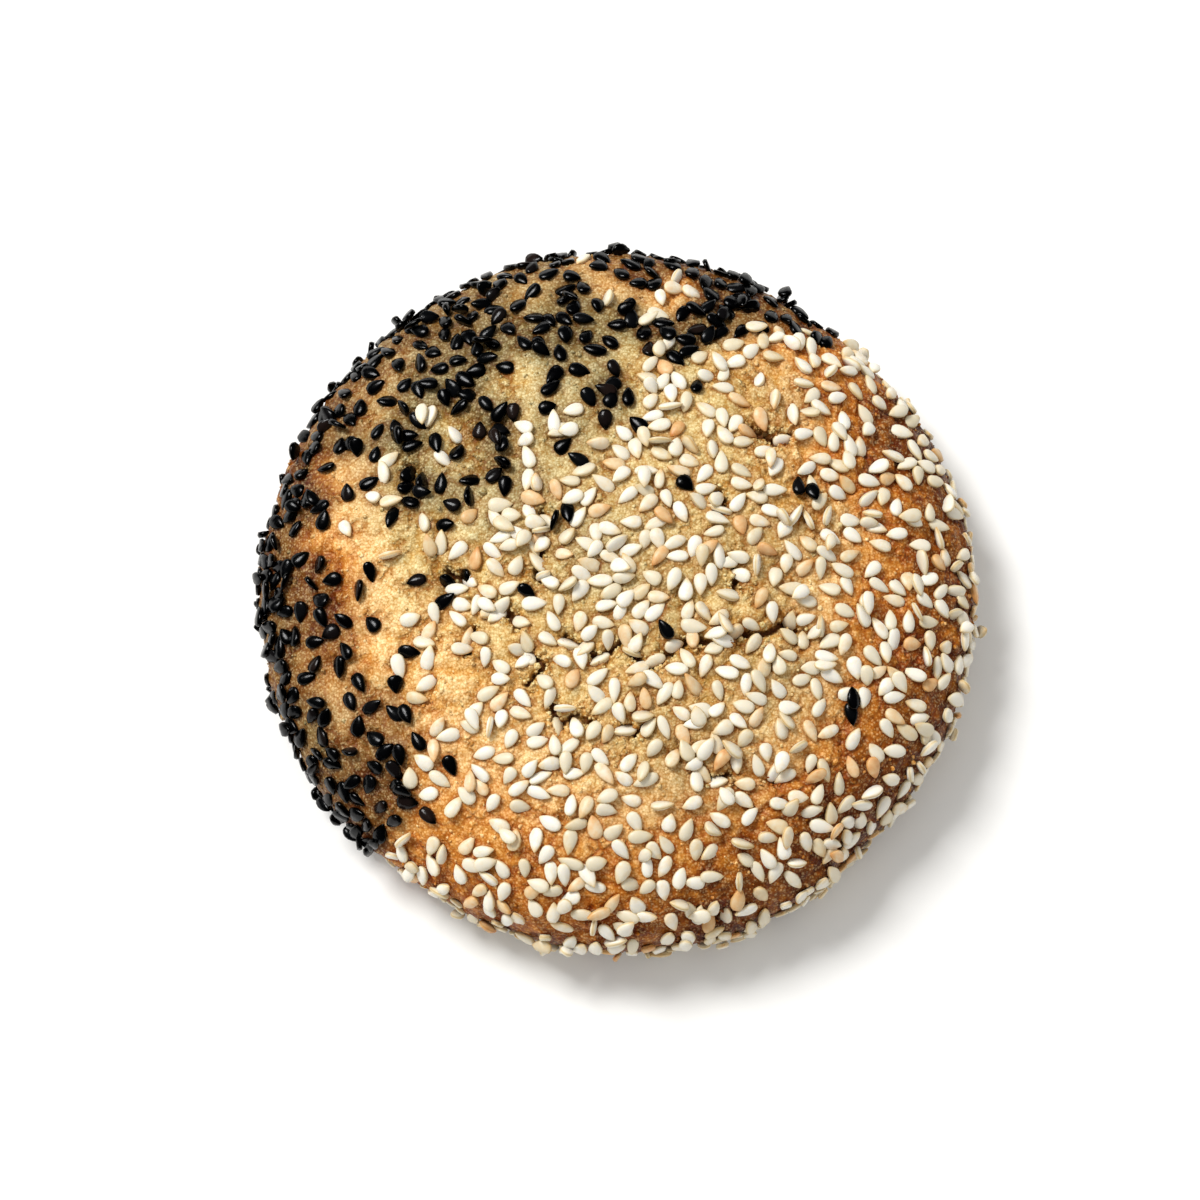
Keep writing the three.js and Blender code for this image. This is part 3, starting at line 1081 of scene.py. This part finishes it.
# What the seeds do to the dough's colour: painted shade close round each, and where black ones lie
# thick a grey that is partly their stain and partly painted shade among them.
SEED_SHADE_REACH = 0.23 * MM
STAIN_AND_SHADE_REACH = 3.2 * MM
FULL_STAIN_AND_SHADE = (0.6, 3.8)  # black seeds in reach, where the stain and painted shade start to show and where they are full

# Spots of painted shade, where the dough is darker and greyer although no black seeds lie on it:
# [pixel, radius in pixels, share of full].
PAINTED_SHADE_SPOTS = [
    [(520, 480), 45, 0.75],
    [(565, 425), 40, 0.80],
    [(590, 545), 45, 0.50],
    [(385, 470), 50, 0.60],
    [(640, 590), 50, 0.30],
    [(780, 400), 50, 0.30],
    [(700, 770), 60, 0.50],
    [(780, 540), 60, 0.30],
    [(800, 680), 70, 0.30],
    [(500, 520), 30, 0.60],
]

all_seeds = surface_of(*(join_copies(copies[kind], seed_faces[kind]) for kind in models))
# painted shade on the dough close round each seed
to_seed = np.array([all_seeds.find_nearest(Vector(point))[3] for point in dough_points])
cover(dough.data, "painted_shade_by_seed", np.exp(-to_seed / SEED_SHADE_REACH))
# grey where black seeds lie thick: partly their stain, partly painted shade among them
stain_and_shade = np.zeros(len(dough_points))
for points in copies[BLACK]:
    stain_and_shade += np.exp(-(((dough_points - points.mean(axis=0)) / STAIN_AND_SHADE_REACH) ** 2).sum(axis=1))
stain_and_shade = ease(stain_and_shade, *FULL_STAIN_AND_SHADE)
for pixel, radius, amount in PAINTED_SHADE_SPOTS:
    gap = np.linalg.norm(smooth_pixels - np.array(pixel), axis=1)
    stain_and_shade = np.maximum(stain_and_shade, amount * bell(gap, radius) * above_base)
cover(dough.data, "stain_and_shade", stain_and_shade)

# The finished pieces. For each seed they hold its shade and how toasted it is, and for each of its
# corners how far it lies towards the tip and towards the rim.
USUAL_TOAST = (0.05, 0.10)  # and its spread
WELL_TOASTED = 0.15  # share of the seeds
WELL_TOAST = (0.2, 0.75)

for kind, model in models.items():
    shape = read_points(model.data)
    towards_tip = shape[:, 1] / np.abs(shape[:, 1]).max()
    towards_rim = 1 - np.abs(shape[:, 2]) / shape[:, 2].max()
    count = len(copies[kind])
    fill_mesh(model.data, *join_copies(copies[kind], seed_faces[kind]))
    toast = np.clip(draw.normal(*USUAL_TOAST, count), 0, 1)
    toasted = draw.uniform(0, 1, count) < WELL_TOASTED
    toast[toasted] = draw.uniform(*WELL_TOAST, toasted.sum())
    cover(model.data, "tone", np.repeat(draw.uniform(0, 1, count), len(shape)))
    cover(model.data, "toast", np.repeat(toast, len(shape)))
    cover(model.data, "along", np.tile(towards_tip, count))
    cover(model.data, "rim", np.tile(towards_rim, count))

# Hulled white sesame: smooth, ivory and a little translucent. Its rim is darker and creamier, partly its
# own translucent cream and partly painted shade on its sides. Some are toasted to amber, most of all at
# the tip.
IVORY_SHADES = [(0.0, "#d8ccb0"), (0.25, "#e0d7c2"), (0.6, "#e6e0d1"), (1.0, "#eae6dc")]
TOAST_SHADES = [(0.1, "#fffefb"), (0.35, "#fceed6"), (0.65, "#f8d0a0"), (1.0, "#e4a062")]
RIM_CREAM_AND_SHADE = [(0.15, "#ffffff"), (0.6, "#fbf3e0"), (1.0, "#e2cda2")]
CLOUD_SIZE = 0.9 * MM
CLOUD_TOAST = 0.7  # how much a seed's clouds toast it, from the palest to the brownest
CLOUD_BALANCE = -0.35  # which leaves its usual toast as it is
TIP_TOAST = 0.25
TIP_STARTS = 0.3  # from the middle of a seed at 0 to its end at 1
DIMPLE_DEPTH = 0.06 * MM

hulled_sesame, tree, shader = new_material("hulled_white_sesame")
place = add_node(tree, "ShaderNodeTexCoord").outputs["Object"]
tone, toast, along, rim = read_covers(tree, "tone", "toast", "along", "rim")
ivory = add_ramp(tree, tone, IVORY_SHADES)
clouds = add_node(tree, "ShaderNodeTexNoise", {"Vector": place, "Scale": 1 / CLOUD_SIZE, "Detail": 3})
tip = add_node(
    tree,
    "ShaderNodeMapRange",
    {"Value": along, "From Min": TIP_STARTS, "From Max": 1.0, "To Max": TIP_TOAST},
)
clouded = add_node(
    tree,
    "ShaderNodeMath",
    {0: clouds.outputs["Fac"], 1: CLOUD_TOAST, 2: CLOUD_BALANCE},
    operation="MULTIPLY_ADD",
)
at_tip = add_node(tree, "ShaderNodeMath", {0: clouded.outputs[0], 1: tip.outputs[0]}, operation="ADD")
toasting = add_node(
    tree, "ShaderNodeMath", {0: at_tip.outputs[0], 1: toast}, operation="ADD", use_clamp=True
)
toast_shade = add_ramp(tree, toasting.outputs[0], TOAST_SHADES)
# a darker, creamier rim: partly the seed's translucent cream, partly painted shade on its sides
rim_cream_and_shade = add_ramp(tree, rim, RIM_CREAM_AND_SHADE)
shade = add_tint(tree, add_tint(tree, ivory, toast_shade), rim_cream_and_shade)
tree.links.new(shade, shader.inputs["Base Color"])
dimples = add_node(
    tree,
    "ShaderNodeBump",
    {"Strength": 0.35, "Distance": DIMPLE_DEPTH, "Height": clouds.outputs["Fac"]},
)
tree.links.new(dimples.outputs[0], shader.inputs["Normal"])
shader.inputs["Roughness"].default_value = 0.42
shader.inputs["Specular IOR Level"].default_value = 0.4
shader.inputs["Subsurface Weight"].default_value = 0.15
shader.inputs["Subsurface Radius"].default_value = (1.0, 0.8, 0.5)
shader.inputs["Subsurface Scale"].default_value = 0.4 * MM
models[WHITE].data.materials.append(hulled_sesame)

# Black sesame in its hull: near black with a satin sheen and fine pebbling. Its face is painted a little
# lighter than its rim, a painted sheen. A few hulls are brown-black.
HULL_SHADES = [(0.0, "#010102"), (0.7, "#040506"), (0.86, "#090a0c"), (0.94, "#120d0c"), (1.0, "#1e1410")]
HULL_PAINTED_SHEEN_SHADES = [(0.1, "#ffffff"), (0.35, "#606060"), (0.7, "#202020")]
PEBBLE_SIZE = 0.35 * MM
PEBBLE_DEPTH = 0.05 * MM

black_hull, tree, shader = new_material("black_sesame_hull")
place = add_node(tree, "ShaderNodeTexCoord").outputs["Object"]
tone, rim = read_covers(tree, "tone", "rim")
hull_shade = add_ramp(tree, tone, HULL_SHADES)
# a painted sheen: the face lighter than the rim
painted_sheen = add_ramp(tree, rim, HULL_PAINTED_SHEEN_SHADES)
tree.links.new(add_tint(tree, hull_shade, painted_sheen), shader.inputs["Base Color"])
pebbles = add_node(tree, "ShaderNodeTexNoise", {"Vector": place, "Scale": 1 / PEBBLE_SIZE, "Detail": 2})
pebbling = add_node(
    tree,
    "ShaderNodeBump",
    {"Strength": 0.4, "Distance": PEBBLE_DEPTH, "Height": pebbles.outputs["Fac"]},
)
tree.links.new(pebbling.outputs[0], shader.inputs["Normal"])
shader.inputs["Roughness"].default_value = 0.21
shader.inputs["Specular IOR Level"].default_value = 0.19
models[BLACK].data.materials.append(black_hull)

for piece in models.values():
    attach(piece, "root")
    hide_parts("cookie")

# ---------------------------------------------------------------------------------------------
# The crumbs: grains of the same dough that broke off its cracks or stand out of the crust, baked on
# it. One is modelled, and its copies are squashed and turned each in its own way.

CRUMBS = 1800
CRUMB_SIZE = 0.25 * MM  # half the width of a usual crumb
CRUMB_SIZE_SPREAD = 0.3
CRUMB_SQUASH = (0.6, 1.2)
CORNER_JUTS = 0.12
CRUMB_SINK = 0.15  # as a share of its size
NEAR_CRACK = 14  # how many times more crumbs lie at the lips of cracks
LIP_OPENED = 0.2  # how far open a crack is at its lip, where 1 is its bottom
DEEPEST_CRUMB = 0.3
CLEAR_OF_SEEDS = 0.35 * MM
CRUMB_BROWNING = (0.6, 1.1)  # as shares of the dough's
CRUMB_DARKENING = 0.3  # painted shade from the crack it lies in, as a share of the dough's

bpy.ops.mesh.primitive_ico_sphere_add(subdivisions=1, radius=1)
crumbs = bpy.context.object
crumbs.name = "crumbs"
crumb_shape = read_points(crumbs.data)
crumb_faces = read_faces(crumbs.data)

weights = 1 + NEAR_CRACK * ease(opened, 0, LIP_OPENED)
weights *= (opened < DEEPEST_CRUMB) & (smooth[:, 2] > LOWEST_SEED) & (to_seed > CLEAR_OF_SEEDS)
chosen = draw.choice(len(smooth), CRUMBS, replace=False, p=weights / weights.sum())
laid_crumbs = []
for vertex in chosen:
    size = CRUMB_SIZE * draw.lognormal(0, CRUMB_SIZE_SPREAD)
    shape = crumb_shape * draw.uniform(*CRUMB_SQUASH, 3) + draw.normal(0, CORNER_JUTS, crumb_shape.shape)
    turn = np.linalg.qr(draw.normal(size=(3, 3)))[0]
    turn *= np.sign(np.linalg.det(turn))
    shape = size * shape @ turn.T + dough_points[vertex]
    laid_crumbs.append(shape - smooth_normals[vertex] * size * CRUMB_SINK)
fill_mesh(crumbs.data, *join_copies(laid_crumbs, crumb_faces))
crumb_browning = browning[chosen] * draw.uniform(*CRUMB_BROWNING, len(chosen))
for name, values in (
    ("browning", np.clip(crumb_browning, 0, 1)),
    ("opened", CRUMB_DARKENING * opened[chosen]),
    ("stain_and_shade", stain_and_shade[chosen]),
):
    cover(crumbs.data, name, np.repeat(values, len(crumb_shape)))
crumbs.data.materials.append(baked_dough)
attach(crumbs, "root")
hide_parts("cookie")

# ---------------------------------------------------------------------------------------------
# The floor and the light: a plain pale floor, even light from all round, and a soft window to the
# left of the cookie and behind it, which gives the seeds their highlights.

FLOOR_SIZE = 12
STUDIO_LIGHT = 0.65
WINDOW_PLACE = (-0.68, 0.57, 1.20)
WINDOW_AIM = Vector((0, 0, 0.01))
WINDOW_SIZE = 0.52
WINDOW_POWER = 21.8

bpy.ops.mesh.primitive_plane_add(size=FLOOR_SIZE)
floor = bpy.context.object
floor.name = "floor"
pale_floor, tree, shader = new_material("pale_floor")
shader.inputs["Base Color"].default_value = linear("#f4f3f0")
shader.inputs["Roughness"].default_value = 0.9
floor.data.materials.append(pale_floor)

world = bpy.data.worlds.new("studio")
bpy.context.scene.world = world
world.use_nodes = True
world.node_tree.nodes["Background"].inputs["Color"].default_value = linear("#f8f8f8")
world.node_tree.nodes["Background"].inputs["Strength"].default_value = STUDIO_LIGHT
world.cycles_visibility.glossy = False  # the studio is dark, but for what its window lights
bpy.context.scene.view_settings.view_transform = "Standard"

bpy.ops.object.light_add(type="AREA", location=WINDOW_PLACE)
window = bpy.context.object
window.name = "window"
window.data.size = WINDOW_SIZE
window.data.energy = WINDOW_POWER
window.rotation_euler = (WINDOW_AIM - window.location).to_track_quat("-Z", "Y").to_euler()
